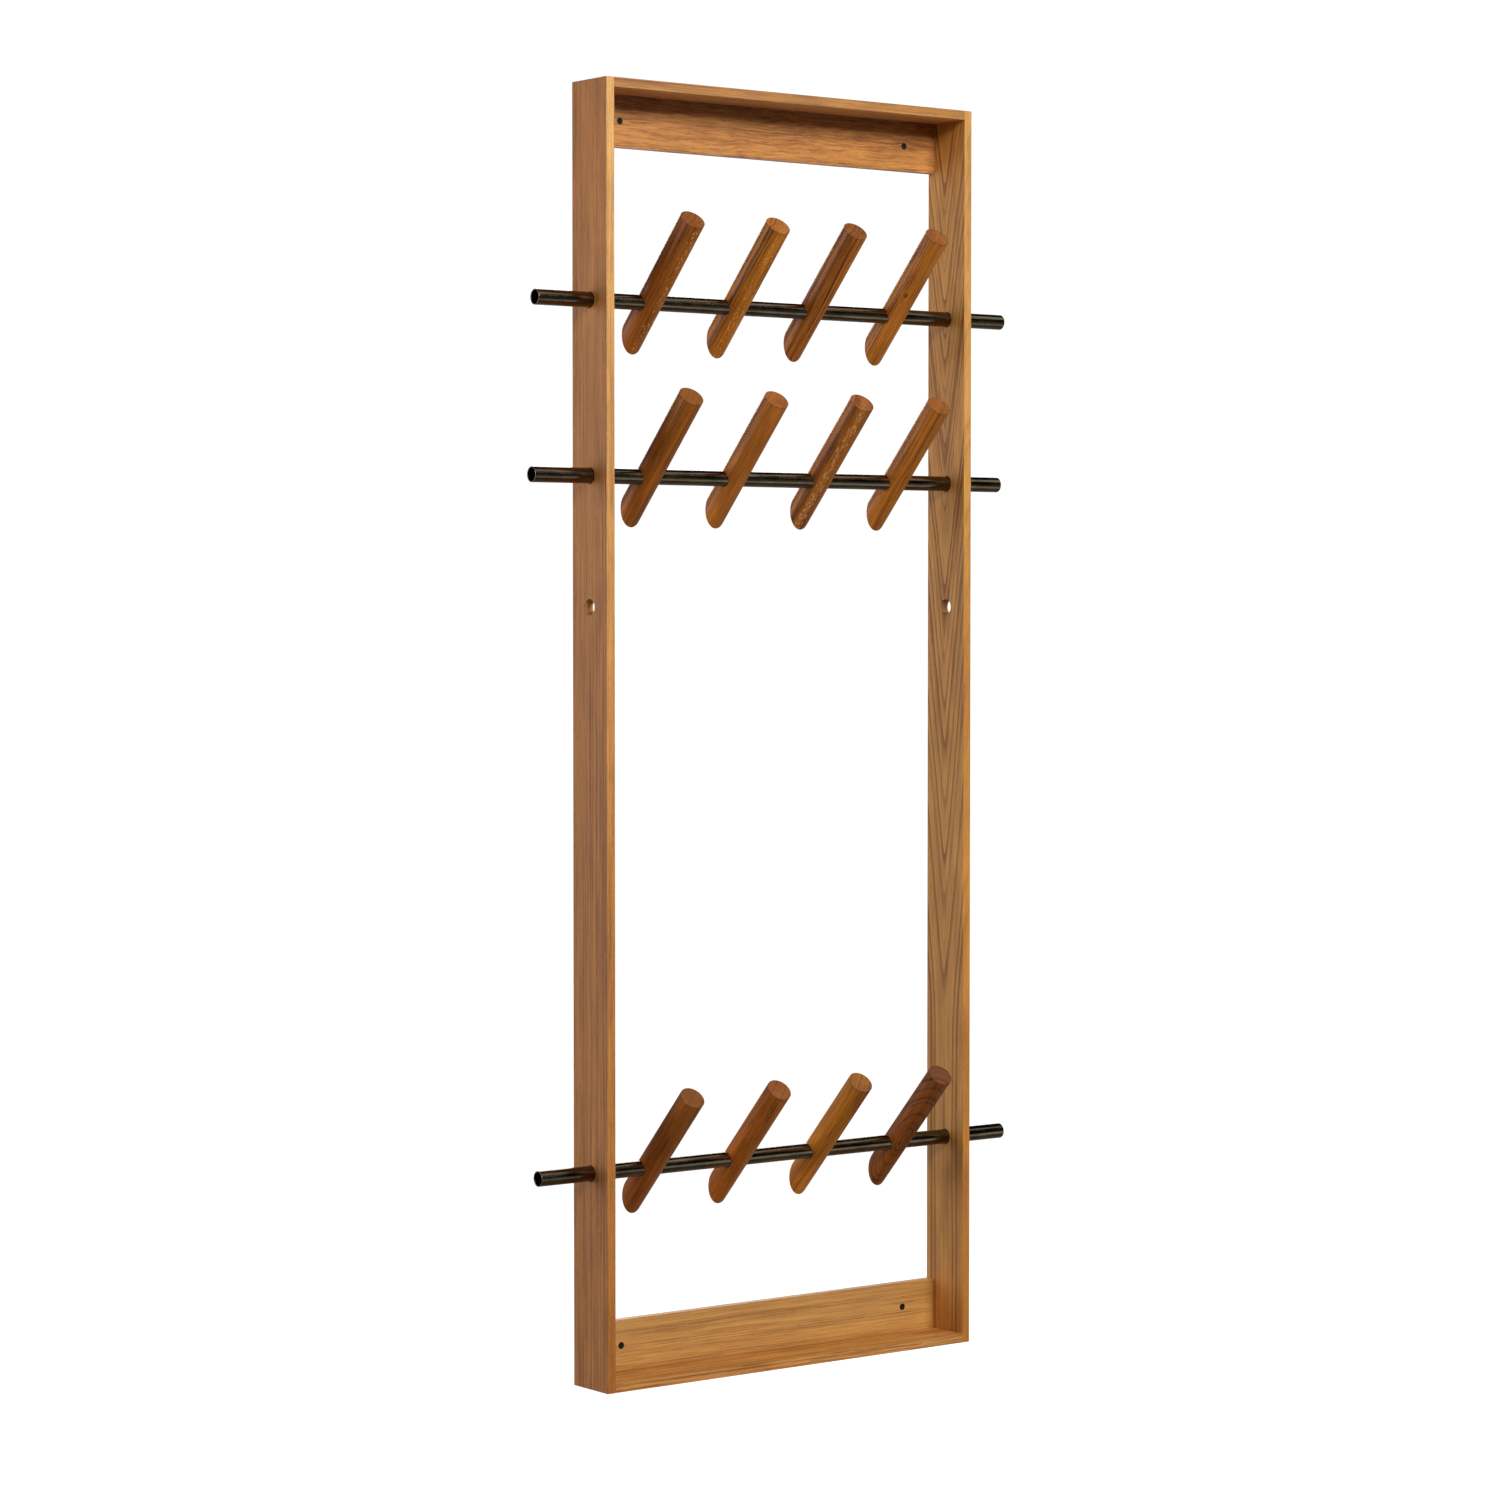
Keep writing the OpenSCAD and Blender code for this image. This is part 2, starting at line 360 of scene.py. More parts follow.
def stripes_field(g, grain_bend, across, along, stripes):
    """Extra darkness along the grain. Each stripe is (place, half width, darkness, top, foot), in mm."""
    total = 0.0
    for place, half_width, darkness, top, foot in stripes:
        off = g.math("ABSOLUTE", g.sub(g.add(across, grain_bend), place))
        stripe = g.mul(g.span(off, half_width * 1.4, half_width * 0.3), darkness)
        stripe = g.mul(stripe, g.span(along, top + STRIPE_FADE_ABOVE, top - STRIPE_FADE_ABOVE))
        stripe = g.mul(stripe, g.span(along, foot - STRIPE_FADE_BELOW, foot + STRIPE_FADE_BELOW))
        total = g.add(total, stripe)
    return total


def board_material(node, axes, look):
    """Oak for a straight board. axes are the (across, deep, along) axis numbers of its grain."""
    low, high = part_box(node)
    centre = (low + high) / 2
    half = (high - low) / 2 / MM
    g = Graph(node + "_oak")
    p = g.place(centre)
    xyz = g.parts(p)
    near = [nearness(g, g.sub(half[i], g.math("ABSOLUTE", xyz[i])), BOARD_WEAR_WIDTH) for i in range(3)]
    edge = g.math("SUBTRACT", g.add(g.add(near[0], near[1]), near[2]), 1.0, clamp=True)
    patchy = g.stretched(p, (3.0, 3.0, 9.0), 1.0)
    edge = g.mul(edge, g.span(patchy, 0.35, 0.65, 0.2, 1.0))
    normal = g.parts(g.node("ShaderNodeTexCoord").outputs["Normal"])
    end = g.span(g.math("ABSOLUTE", normal[axes[2]]), *FACING)
    across, deep, along = (xyz[i] for i in axes)
    b = g.vector(across, deep, g.add(along, look["shift"]))
    fields = oak_fields(g, b, look)
    bend = g.mul(g.sub(g.stretched(b, BOARD_BEND_SIZE, 1.0), 0.5), 7.0)
    extra = stripes_field(g, bend, across, along, look["stripes"])
    front = g.span(g.mul(normal[1], -1), *FACING)
    fields["ring"] = g.mul(fields["ring"], g.sub(1.0, g.mul(front, look["front_calm"])))
    extra = g.add(extra, g.mul(g.mul(fields["fleck"], front), look["front_flecks"]))
    # Painted light and shade: each face that the look lists gets its colour multiplied by a tint that runs
    # from one end of the board to the other
    painted_light_tints = []
    reach = half[axes[2]]
    for axis, sign, at_low, at_high in look["faces"]:
        facing = g.span(g.mul(normal[axis], sign), *FACING)
        tint = g.mix(g.span(along, -reach, reach, smooth=False), (*at_low, 1), (*at_high, 1))
        painted_light_tints.append((facing, tint))
    return oak_surface(g, fields, look, edge, end, extra, painted_light_tints)


# For each board, its grain's (across, deep, along) axes and what differs from BOARD_LOOK.
# faces are (normal's axis, sign, tint at the low end, tint at the high end): painted light and shade, which
# make one face lighter, darker or paler along the board than the lamps make it.
BOARDS = {
    "left_side_board": ((1, 0, 2), dict(
        pith=(-150.0, 30.0), ring=6.0, ring_dark=0.25, shift=300.0, wander=7.0, front_flecks=0.35,
        light=colour(205, 133, 62), dark=colour(136, 76, 27),
        # Painted light on the front face: darker and more orange towards the foot, lighter and paler
        # towards the top, with painted sheen there
        faces=((1, -1, (0.85, 0.77, 0.44), (1.15, 1.62, 2.3)),),
        stripes=(
            (-31.5, 0.8, 0.5, 500, -PAST_END), (-27.0, 0.7, 0.75, 250, -PAST_END),
            (-24.5, 0.5, 0.5, -100, -PAST_END), (-19.5, 0.6, 0.5, 350, -PAST_END),
            (-13.5, 0.7, 0.65, 0, -PAST_END), (-1.0, 0.8, 0.6, 100, -PAST_END),
            (1.5, 0.5, 0.5, -250, -PAST_END), (13.5, 0.6, 0.6, -150, -PAST_END),
            (16.5, 0.5, 0.45, -300, -PAST_END)))),
    "right_side_board": ((1, 0, 2), dict(
        pith=(2.0, 20.0), v_slope=0.13, v_from=-330.0, v_steeper=200.0, v_side=0.95, v_side_top=0.95,
        ring=6.5, ring_dark=1.15, cloud_dark=0.8, streak_dark=0.9, fibre_dark=0.4, band_dark=0.6,
        pore_dark=0.25, wander=10.0, front_flecks=0.35, front_calm=0.8,
        light=colour(222, 158, 78), dark=colour(149, 94, 36),
        # Painted light on the front face: darker and more orange towards the foot, lighter and paler
        # towards the top, with painted sheen there
        faces=((1, -1, (0.80, 0.62, 0.19), (0.88, 0.98, 1.06)),),
        stripes=((1.0, 1.8, 0.45, -400, -520),))),
    "top_board": ((1, 2, 0), dict(
        pith=(-90.0, 60.0), shift=900.0, light=colour(180, 126, 61), dark=colour(120, 70, 24),
        # Painted light on the underside: much lighter and paler, as painted bounce light and painted
        # reflection of the back rail
        ring_dark=0.6, faces=((2, -1, (2.4, 2.8, 4.4), (2.4, 2.8, 4.4)),))),
    "bottom_board": ((1, 2, 0), dict(
        pith=(-70.0, 50.0), shift=1700.0, light=colour(224, 159, 80), dark=colour(154, 91, 35),
        ring_dark=1.0, ripple=2.0, band_dark=2.6, streak_dark=2.6,
        tone_low=(0.72, 0.64, 0.56, 1))),
    "top_back_rail": ((2, 1, 0), dict(
        pith=(-50.0, 30.0), ripple=5.5, ripple_size=(10.0, 10.0, 22.0), shift=2500.0, streak_length=26.0,
        streak_width=1.5, streak_dark=2.6, band_length=70.0, band_dark=1.4, tone_low=(0.80, 0.74, 0.70, 1),
        light=colour(190, 129, 59), dark=colour(124, 69, 24), ring=3.0, ring_dark=0.7)),
    "bottom_back_rail": ((2, 1, 0), dict(
        pith=(-110.0, 60.0), shift=3300.0, ring=2.6, ring_dark=0.45, cloud_dark=0.35, wander=6.0,
        light=colour(212, 157, 83), dark=colour(144, 91, 39))),
}

# ---------------------------------------------------------------- pegs

PEG_LOOK = {
    "pith": (-34.0, 8.0), "tilt": 0.02, "wander": 5.0, "wander_size": (30.0, 30.0, 160.0),
    "ripple": 0.8, "ripple_size": (5.0, 5.0, 40.0), "ring": 3.6, "shift": 0.0,
    "streak_width": 1.1, "streak_length": 50.0, "band_length": 90.0,
    "base_dark": 0.30, "ring_dark": 0.5, "band_dark": 0.9, "streak_dark": 1.4, "fibre_dark": 0.5,
    "pore_dark": 0.35, "cloud_dark": 0.9,
    "ray": 0.0, "ray_gate": 0.40, "ray_cut": (0.60, 0.68), "ray_size": (1.5, 1.5, 4.0),
    "ray_zone": (-20.0, 20.0), "ray_colour": colour(226, 160, 84),
    "tone_low": (0.89, 0.89, 0.88, 1), "tone_high": (1.10, 1.15, 1.20, 1),
    "end_mix": 0.65, "end_colour": colour(116, 68, 36), "end_ring": 0.6, "end_dark": colour(66, 34, 16),
    "edge_mix": 0.5, "edge_colour": colour(86, 46, 20),
    "rough": 0.40, "coat": 0.12, "gloss": 0.3, "stripes": (),
}
PEG_WEAR_WIDTH = 1.3
# Depth of the skin at a peg's end that shows end grain
END_SKIN = 0.3
# Cosine and sine of the turn that brings the grain's face round to the peg's left-front side
GRAIN_COS, GRAIN_SIN = 0.8, 0.6

# For each peg, what differs from PEG_LOOK. stripes are (place across the peg, half width, darkness).
# A knot is (place across, height above the tube, size), and an eye is (place across, height, squeeze).
PEGS = {
    # Darker colours than the other pegs of its row: partly the wood's own tone, partly painted shade from
    # the left side board
    "top_peg_1": dict(
        shift=40.0, light=colour(172, 97, 27), dark=colour(84, 39, 6),
        ray=1.0, ray_gate=0.36, ray_zone=(5.0, 15.0), ring_dark=0.3),
    "top_peg_2": dict(
        shift=340.0, light=colour(206, 124, 35), dark=colour(101, 51, 8),
        ray=1.0, ray_gate=0.36, ray_zone=(1.0, 13.0), end_colour=colour(144, 90, 48),
        stripes=((-8.5, 1.5, 0.5), (-4.5, 0.8, 0.4), (-12.0, 1.4, -0.5), (3.2, 1.2, -0.25))),
    "top_peg_3": dict(
        shift=640.0, light=colour(178, 103, 33), dark=colour(83, 41, 9),
        ring=4.4, ring_dark=0.6, stripes=((4.0, 0.8, 0.45), (7.5, 0.8, -0.5), (9.5, 0.6, 0.4))),
    "top_peg_4": dict(
        shift=940.0, light=colour(201, 122, 40), dark=colour(112, 58, 15), ring_dark=0.3,
        stripes=((-9.0, 0.7, 0.6), (-6.0, 0.7, 0.55), (-3.2, 0.6, 0.5), (6.0, 0.6, 0.35)),
        knot=(0.0, 42.0, 2.9)),
    # Darker colours than the other pegs of its row: partly the wood's own tone, partly painted shade from
    # the left side board
    "middle_peg_1": dict(
        shift=1240.0, light=colour(168, 95, 23), dark=colour(82, 37, 5), ring_dark=0.35,
        stripes=((6.0, 1.4, -0.4),)),
    "middle_peg_2": dict(
        shift=1540.0, light=colour(201, 118, 38), dark=colour(113, 59, 14), ring_dark=0.3),
    "middle_peg_3": dict(
        shift=1840.0, light=colour(186, 110, 37), dark=colour(96, 47, 8), ring=4.0, ring_dark=0.4,
        ray=0.85, ray_gate=0.22, ray_cut=(0.51, 0.66), ray_zone=(-1.0, 8.0), ray_size=(2.0, 2.0, 4.4),
        ray_colour=colour(220, 156, 98),
        stripes=((-6.5, 4.0, 0.55), (-12.5, 1.4, -0.15), (3.2, 2.2, -0.35))),
    "middle_peg_4": dict(
        shift=2140.0, light=colour(197, 117, 34), dark=colour(99, 49, 10), ring_dark=0.35,
        stripes=((-1.0, 1.2, -0.45), (3.5, 0.8, 0.35))),
    # Darker colours than its neighbours: partly the wood's own tone, partly painted shade from the left
    # side board
    "bottom_peg_1": dict(
        shift=2440.0, light=colour(189, 107, 25), dark=colour(103, 51, 7), ring_dark=0.25,
        end_colour=colour(94, 54, 28)),
    "bottom_peg_2": dict(
        shift=2740.0, light=colour(212, 117, 26), dark=colour(112, 57, 8), ring_dark=0.3,
        ray=0.3, end_colour=colour(94, 54, 28)),
    "bottom_peg_3": dict(
        shift=3040.0, light=colour(238, 146, 38), dark=colour(115, 64, 11), ring_dark=0.45,
        end_colour=colour(102, 60, 30)),
    "bottom_peg_4": dict(
        light=colour(156, 86, 24), dark=colour(58, 29, 7), base_dark=0.15,
        eye=(4.0, 20.0, 0.36), ring=3.2, ring_dark=0.7, end_colour=colour(94, 54, 28)),
}


def peg_centre(node):
    """Where a peg's axis crosses its tube's axis."""
    low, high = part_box(node)
    tube_low, tube_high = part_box(node.split("_")[0] + "_tube")
    tube = (tube_low + tube_high) / 2
    return Vector(((low.x + high.x) / 2, tube.y, tube.z))


def peg_material(node, look):
    """Dark oak with its grain along the peg, and its knot, stripes and rays where the look puts them."""
    g = Graph(node + "_oak")
    p = g.place(peg_centre(node), (PEG_LEAN, 0, 0))
    x, y, z = g.parts(p)
    radius = g.math("SQRT", g.add(g.mul(x, x), g.mul(y, y)))
    rim = nearness(g, g.sub(PEG_RADIUS, radius), PEG_WEAR_WIDTH)
    top = nearness(g, g.sub(PEG_REACH, z), PEG_WEAR_WIDTH)
    edge = g.math("SUBTRACT", g.add(rim, top), 1.0, clamp=True)
    end = g.span(z, PEG_REACH - 2 * END_SKIN, PEG_REACH - END_SKIN)
    across = g.sub(g.mul(x, GRAIN_COS), g.mul(y, GRAIN_SIN))
    deep = g.add(g.mul(x, GRAIN_SIN), g.mul(y, GRAIN_COS))
    b = g.vector(across, deep, g.add(z, look["shift"]))
    bend = g.mul(g.sub(g.stretched(b, PEG_BEND_SIZE, 1.0), 0.5), 4.0)
    stripes = [(*stripe, PAST_END, -PAST_END) for stripe in look["stripes"]]
    extra = stripes_field(g, bend, across, z, stripes)
    if "knot" in look:
        place, height, size = look["knot"]
        side, rise = g.sub(across, place), g.mul(g.sub(z, height), 0.6)
        reach = g.math("SQRT", g.add(g.mul(side, side), g.mul(rise, rise)))
        front = g.span(deep, 2.0, -4.0)
        core = g.mul(g.span(reach, size * 0.9, size * 0.3), front)
        extra = g.add(extra, g.mul(core, 0.7))
        pull = g.mul(g.span(reach, size * 4, size * 0.5), g.mul(front, -0.8))
        across = g.add(across, g.mul(side, pull))
    b = g.vector(across, deep, g.add(z, look["shift"]))
    fields = oak_fields(g, b, look)
    zone_low, zone_high = look["ray_zone"]
    zone = g.mul(g.span(across, zone_low - 1, zone_low + 1), g.span(across, zone_high + 1, zone_high - 1))
    fields["ray"] = g.mul(fields["ray"], zone)
    return oak_surface(g, fields, look, edge, end, extra)


# ---------------------------------------------------------------- steel, screws, dowels

STEEL_BROWN = (0.100, 0.076, 0.049, 1)
STEEL_PALE = (0.190, 0.155, 0.098, 1)
STEEL_BRONZE = (0.170, 0.105, 0.062, 1)
STEEL_OLIVE = (0.120, 0.128, 0.096, 1)
STEEL_BLACK = (0.060, 0.050, 0.040, 1)
STEEL_BARE = (0.50, 0.44, 0.33, 1)
COAT_BLACK = (0.004, 0.004, 0.0045, 1)
COAT_GREY = (0.010, 0.010, 0.011, 1)
COAT_RUBBED = (0.040, 0.039, 0.038, 1)


def steel_material(name, centre, shift):
    """Blackened and waxed steel tube: brown-black with olive and bronze mottling drawn out along it."""
    g = Graph(name)
    p = g.place(centre)
    x, y, z = g.parts(p)
    b = g.vector(g.add(x, shift), y, z)
    mottle = g.stretched(b, (26.0, 7.0, 7.0), 4.0, 0.62)
    drawn = g.stretched(b, (90.0, 1.6, 1.6), 3.0, 0.6)
    hue = g.stretched(b, (60.0, 9.0, 9.0), 2.0)
    speck = g.stretched(b, (1.6, 1.2, 1.2), 1.0)
    base = g.mix(g.span(mottle, 0.34, 0.68), STEEL_BROWN, STEEL_PALE)
    base = g.mix(g.mul(g.span(hue, 0.50, 0.68), 0.8), base, STEEL_BRONZE)
    base = g.mix(g.mul(g.span(hue, 0.46, 0.34), 0.8), base, STEEL_OLIVE)
    base = g.mix(g.mul(g.span(drawn, 0.52, 0.72), 0.4), base, STEEL_BLACK)
    base = g.mix(g.mul(g.span(speck, 0.74, 0.80), 0.5), base, STEEL_BARE)
    rough = g.span(mottle, 0.3, 0.7, 0.15, 0.22)
    rough = g.add(rough, g.mul(g.sub(drawn, 0.5), 0.08))
    height = g.add(g.mul(mottle, 0.4), g.mul(drawn, 0.6))
    return g.surface(base, rough, g.bump(height, 0.08 * MM, 0.6), Metallic=1.0)


def screw_material():
    """Black coated steel, rubbed a little greyer in patches."""
    g = Graph("black_screw_coat")
    p = g.place((0, 0, 0))
    grain = g.stretched(p, (0.5, 0.5, 0.5), 3.0)
    rubbed = g.stretched(p, (2.2, 2.2, 2.2), 2.0)
    base = g.mix(g.span(grain, 0.35, 0.7), COAT_BLACK, COAT_GREY)
    base = g.mix(g.mul(g.span(rubbed, 0.56, 0.68), 0.35), base, COAT_RUBBED)
    rough = g.span(grain, 0.3, 0.7, 0.36, 0.52)
    return g.surface(base, rough, g.bump(grain, 0.04 * MM, 0.5), Metallic=0.6)


def dowel_material():
    """Plain beech with fine fibres and flecks along X."""
    g = Graph("dowel_beech_wood")
    p = g.place((0, 0, 0))
    fibre = g.stretched(p, (14.0, 0.5, 0.5), 3.0)
    fleck = g.stretched(p, (1.8, 0.6, 0.6), 1.0)
    base = g.mix(g.span(fibre, 0.3, 0.7), colour(226, 190, 146), colour(196, 150, 104))
    base = g.mix(g.mul(g.span(fleck, 0.62, 0.72), 0.5), base, colour(160, 110, 70))
    return g.surface(base, g.span(fibre, 0.3, 0.7, 0.5, 0.65), g.bump(fibre, 0.1 * MM, 0.6), IOR=1.46)


# ---------------------------------------------------------------- eased edges on the CAD nodes

MERGE_DISTANCE = 0.002 * MM
SMOOTH_BELOW = math.radians(28)
EASE_ABOVE = math.radians(30)
BOARD_EASE = 0.5 * MM
PEG_EASE = 0.7 * MM
TUBE_EASE = 0.35 * MM
DOWEL_EASE = 0.4 * MM
# The mottle of each tube is taken this much further along than the last tube's
TUBE_SHIFT = 900.0


def clean_shading():
    """A geometry node group that joins doubled vertices and shades smooth across shallow angles."""
    group = bpy.data.node_groups.new("clean_shading", "GeometryNodeTree")
    group.interface.new_socket("Geometry", in_out="INPUT", socket_type="NodeSocketGeometry")
    group.interface.new_socket("Geometry", in_out="OUTPUT", socket_type="NodeSocketGeometry")
    make = group.nodes.new
    start, finish = make("NodeGroupInput"), make("NodeGroupOutput")
    forget = make("GeometryNodeRemoveAttribute")
    forget.inputs["Name"].default_value = "custom_normal"
    merge = make("GeometryNodeMergeByDistance")
    merge.inputs["Distance"].default_value = MERGE_DISTANCE
    faces = make("GeometryNodeSetShadeSmooth")
    faces.domain = "FACE"
    edges = make("GeometryNodeSetShadeSmooth")
    edges.domain = "EDGE"
    angle = make("GeometryNodeInputMeshEdgeAngle")
    shallow = make("FunctionNodeCompare")
    shallow.operation = "LESS_THAN"
    shallow.inputs[1].default_value = SMOOTH_BELOW
    link = group.links.new
    link(start.outputs[0], forget.inputs["Geometry"])
    link(forget.outputs[0], merge.inputs["Geometry"])
    link(merge.outputs[0], faces.inputs["Geometry"])
    link(faces.outputs[0], edges.inputs["Geometry"])
    link(angle.outputs["Unsigned Angle"], shallow.inputs[0])
    link(shallow.outputs[0], edges.inputs["Shade Smooth"])
    link(edges.outputs[0], finish.inputs[0])
    return group


CLEAN = clean_shading()


def ease(node, width, segments=3):
    """Joins a CAD node's faces and rounds its sharp edges by width, with modifiers only."""
    piece = nodes[node]
    clean = piece.modifiers.new("clean", "NODES")
    clean.node_group = CLEAN
    bevel = piece.modifiers.new("eased_edges", "BEVEL")
    bevel.width = width
    bevel.segments = segments
    bevel.limit_method = "ANGLE"
    bevel.angle_limit = EASE_ABOVE
    bevel.harden_normals = False
    weighted = piece.modifiers.new("shading", "WEIGHTED_NORMAL")
    weighted.weight = 60
    weighted.keep_sharp = False


def wear(node, material):
    """Gives a CAD node its material."""
    if not nodes[node].material_slots:
        nodes[node].data.materials.append(None)
    for slot in nodes[node].material_slots:
        slot.link = "OBJECT"
        slot.material = material


for node, (axes, changes) in BOARDS.items():
    wear(node, board_material(node, axes, {**BOARD_LOOK, **changes}))
    ease(node, BOARD_EASE)

for node, changes in PEGS.items():
    wear(node, peg_material(node, {**PEG_LOOK, **changes}))
    ease(node, PEG_EASE)

for index, row in enumerate(ROWS):
    tube = row + "_tube"
    tube_low, tube_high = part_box(tube)
    wear(tube, steel_material(tube + "_steel", (tube_low + tube_high) / 2, TUBE_SHIFT * index))
    ease(tube, TUBE_EASE, 2)

beech = dowel_material()
for node in nodes:
    if node.endswith("_dowels"):
        wear(node, beech)
        ease(node, DOWEL_EASE, 2)


# ---------------------------------------------------------------- wall screws

SCREW_LENGTH = 40.0
HEAD_RADIUS = 4.0
SHANK_RADIUS = 1.5
RAIL_THICKNESS = 11.0
# The head's rim is rounded over, and its cone then narrows to the shank
LIP = 0.12
RIM_INSET = 0.15
RIM_DEPTH = 0.35
CONE_HEIGHT = 2.3
CONE_STEPS = 6
SHANK_DEPTHS = (4.0, 6.5, 9.0, RAIL_THICKNESS)
# The thread starts behind the wall plane and comes to its full height within the run-in
THREAD_RADIUS = 2.0
ROOT_RADIUS = 1.35
THREAD_PITCH = 1.8
THREAD_START = RAIL_THICKNESS + 0.2
THREAD_RUN_IN = 1.0
# Half of a crest's width, as a share of the pitch
CREST_HALF = 0.20
TIP_LENGTH = 6.0
# What is left of the full radius at the point, how the point tapers, and its least radius
TIP_SHARE = 0.08
TIP_POWER = 0.8
TIP_RADIUS = 0.05
# The cross recess: four wings that get shallower away from the middle
RECESS_DEPTH = 1.35
WING_HALF_WIDTH = 0.34
WING_WALL = 0.16
WING_FULL = 0.5
WING_FADE = 1.75
# Fineness of the screw's mesh
SIDES = 48
FACE_STEPS = 26
THREAD_STEP = 0.15
CREASE = math.radians(50)


def held(value):
    """value, kept within 0..1."""
    return min(max(value, 0.0), 1.0)


def recess_drop(x, y):
    """Depth of the cross recess at a place on the head's face."""
    u, v = (x + y) / math.sqrt(2), (x - y) / math.sqrt(2)
    wing = min(abs(u), abs(v))
    wall = 1 - held((wing - WING_HALF_WIDTH) / WING_WALL)
    slope = 1 - held((math.hypot(x, y) - WING_FULL) / WING_FADE)
    return RECESS_DEPTH * wall * slope


def thread_radius(turn, depth):
    """Radius of the threaded length, at a share of a turn and a distance from the head's face."""
    phase = (depth / THREAD_PITCH - turn) % 1.0
    crest = max(0.0, 1 - abs(phase - 0.5) / CREST_HALF)
    cut = held((depth - THREAD_START) / THREAD_RUN_IN)
    core = SHANK_RADIUS + (ROOT_RADIUS - SHANK_RADIUS) * cut
    full = core + (THREAD_RADIUS - core) * crest * cut
    taper = held((SCREW_LENGTH - depth) / TIP_LENGTH)
    return max(full * (TIP_SHARE + (1 - TIP_SHARE) * taper ** TIP_POWER), TIP_RADIUS)


def screw_rings():
    """The screw's outline from the head's middle to its point, as rings of (radius, part of a turn, depth).

    A depth of None is on the head's face, where the recess decides it.
    """
    rings = []
    for step in range(1, FACE_STEPS + 1):
        radius = HEAD_RADIUS * step / FACE_STEPS
        rings.append([(radius, turn / SIDES, None) for turn in range(SIDES)])
    rim = HEAD_RADIUS - RIM_INSET
    profile = [(HEAD_RADIUS, LIP), (rim, RIM_DEPTH)]
    for step in range(1, CONE_STEPS + 1):
        share = step / CONE_STEPS
        profile.append((rim - (rim - SHANK_RADIUS) * share, RIM_DEPTH + CONE_HEIGHT * share))
    profile += [(SHANK_RADIUS, depth) for depth in SHANK_DEPTHS]
    for radius, depth in profile:
        rings.append([(radius, turn / SIDES, depth) for turn in range(SIDES)])
    depth = RAIL_THICKNESS
    while depth < SCREW_LENGTH:
        depth = min(depth + THREAD_STEP, SCREW_LENGTH)
        rings.append([(thread_radius(turn / SIDES, depth), turn / SIDES, depth) for turn in range(SIDES)])
    return rings


def wall_screw(node):
    """A countersunk wood screw with a cross recess and a real helical thread, along +Y."""
    low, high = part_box(node)
    x0, y0, z0 = (low.x + high.x) / 2, low.y, (low.z + high.z) / 2
    mesh = bmesh.new()
    centre = mesh.verts.new((x0, y0 + RECESS_DEPTH * MM, z0))
    made = []
    for ring in screw_rings():
        row = []
        for radius, part, depth in ring:
            across = radius * math.cos(2 * math.pi * part)
            up = radius * math.sin(2 * math.pi * part)
            if depth is None:
                lip = max(0.0, radius - HEAD_RADIUS + LIP)
                depth = recess_drop(across, up) + lip
            row.append(mesh.verts.new((x0 + across * MM, y0 + depth * MM, z0 + up * MM)))
        made.append(row)
    for k in range(SIDES):
        mesh.faces.new((centre, made[0][(k + 1) % SIDES], made[0][k]))
    for inner, outer in zip(made, made[1:]):
        for k in range(SIDES):
            after = (k + 1) % SIDES
            mesh.faces.new((inner[k], inner[after], outer[after], outer[k]))
    mesh.faces.new(made[-1])
    bmesh.ops.recalc_face_normals(mesh, faces=mesh.faces)
    for face in mesh.faces:
        face.smooth = True
    for edge in mesh.edges:
        edge.smooth = edge.calc_face_angle(0) < CREASE
    data = bpy.data.meshes.new(node + "_threaded")
    mesh.to_mesh(data)
    mesh.free()
    piece = bpy.data.objects.new(node + "_threaded", data)
    bpy.context.scene.collection.objects.link(piece)
    return piece


screw_coat = screw_material()
for node in [name for name in nodes if name.endswith("_wall_screw")]:
    wear(node, screw_coat)
    screw = wall_screw(node)
    screw.data.materials.append(screw_coat)
    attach(screw, "frame")
    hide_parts(node)


# ---------------------------------------------------------------- floor, backdrop and light

# Metres
FLOOR_DROP = 0.45
FLOOR_RADIUS = 24
BACKDROP_RADIUS = 25

# Light that the stage's surfaces give off, and how much of the lamps' light they send back
FLOOR_GLOW, FLOOR_PAINT = 1.04, 0.25
BACKDROP_GLOW, BACKDROP_PAINT = 1.05, 0.0
CLOUDS = (900.0, 900.0, 900.0)


def pale_material(name, glow, paint):
    """A pale, very slightly clouded stage surface."""
    g = Graph(name)
    p = g.place((0, 0, 0))
    soft = g.span(g.stretched(p, CLOUDS, 2.0), 0.3, 0.7, 0.985, 1.0)
    shade = g.node("ShaderNodeBsdfDiffuse", {"Color": (paint, paint, paint, 1)})
    light = g.node("ShaderNodeEmission", {"Color": g.vector(soft, soft, soft), "Strength": glow})
    both = g.node("ShaderNodeAddShader")
    g.tree.links.new(shade.outputs[0], both.inputs[0])
    g.tree.links.new(light.outputs[0], both.inputs[1])
    out = g.node("ShaderNodeOutputMaterial")
    g.tree.links.new(both.outputs[0], out.inputs[0])
    return g.material


def stage_piece(name, build, material):
    """A piece round the object that only the camera sees, so it neither lights nor shades anything."""
    mesh = bmesh.new()
    build(mesh)
    data = bpy.data.meshes.new(name)
    mesh.to_mesh(data)
    mesh.free()
    piece = bpy.data.objects.new(name, data)
    data.materials.append(material)
    bpy.context.scene.collection.objects.link(piece)
    piece.visible_diffuse = False
    piece.visible_glossy = False
    piece.visible_transmission = False
    piece.visible_shadow = False
    return piece


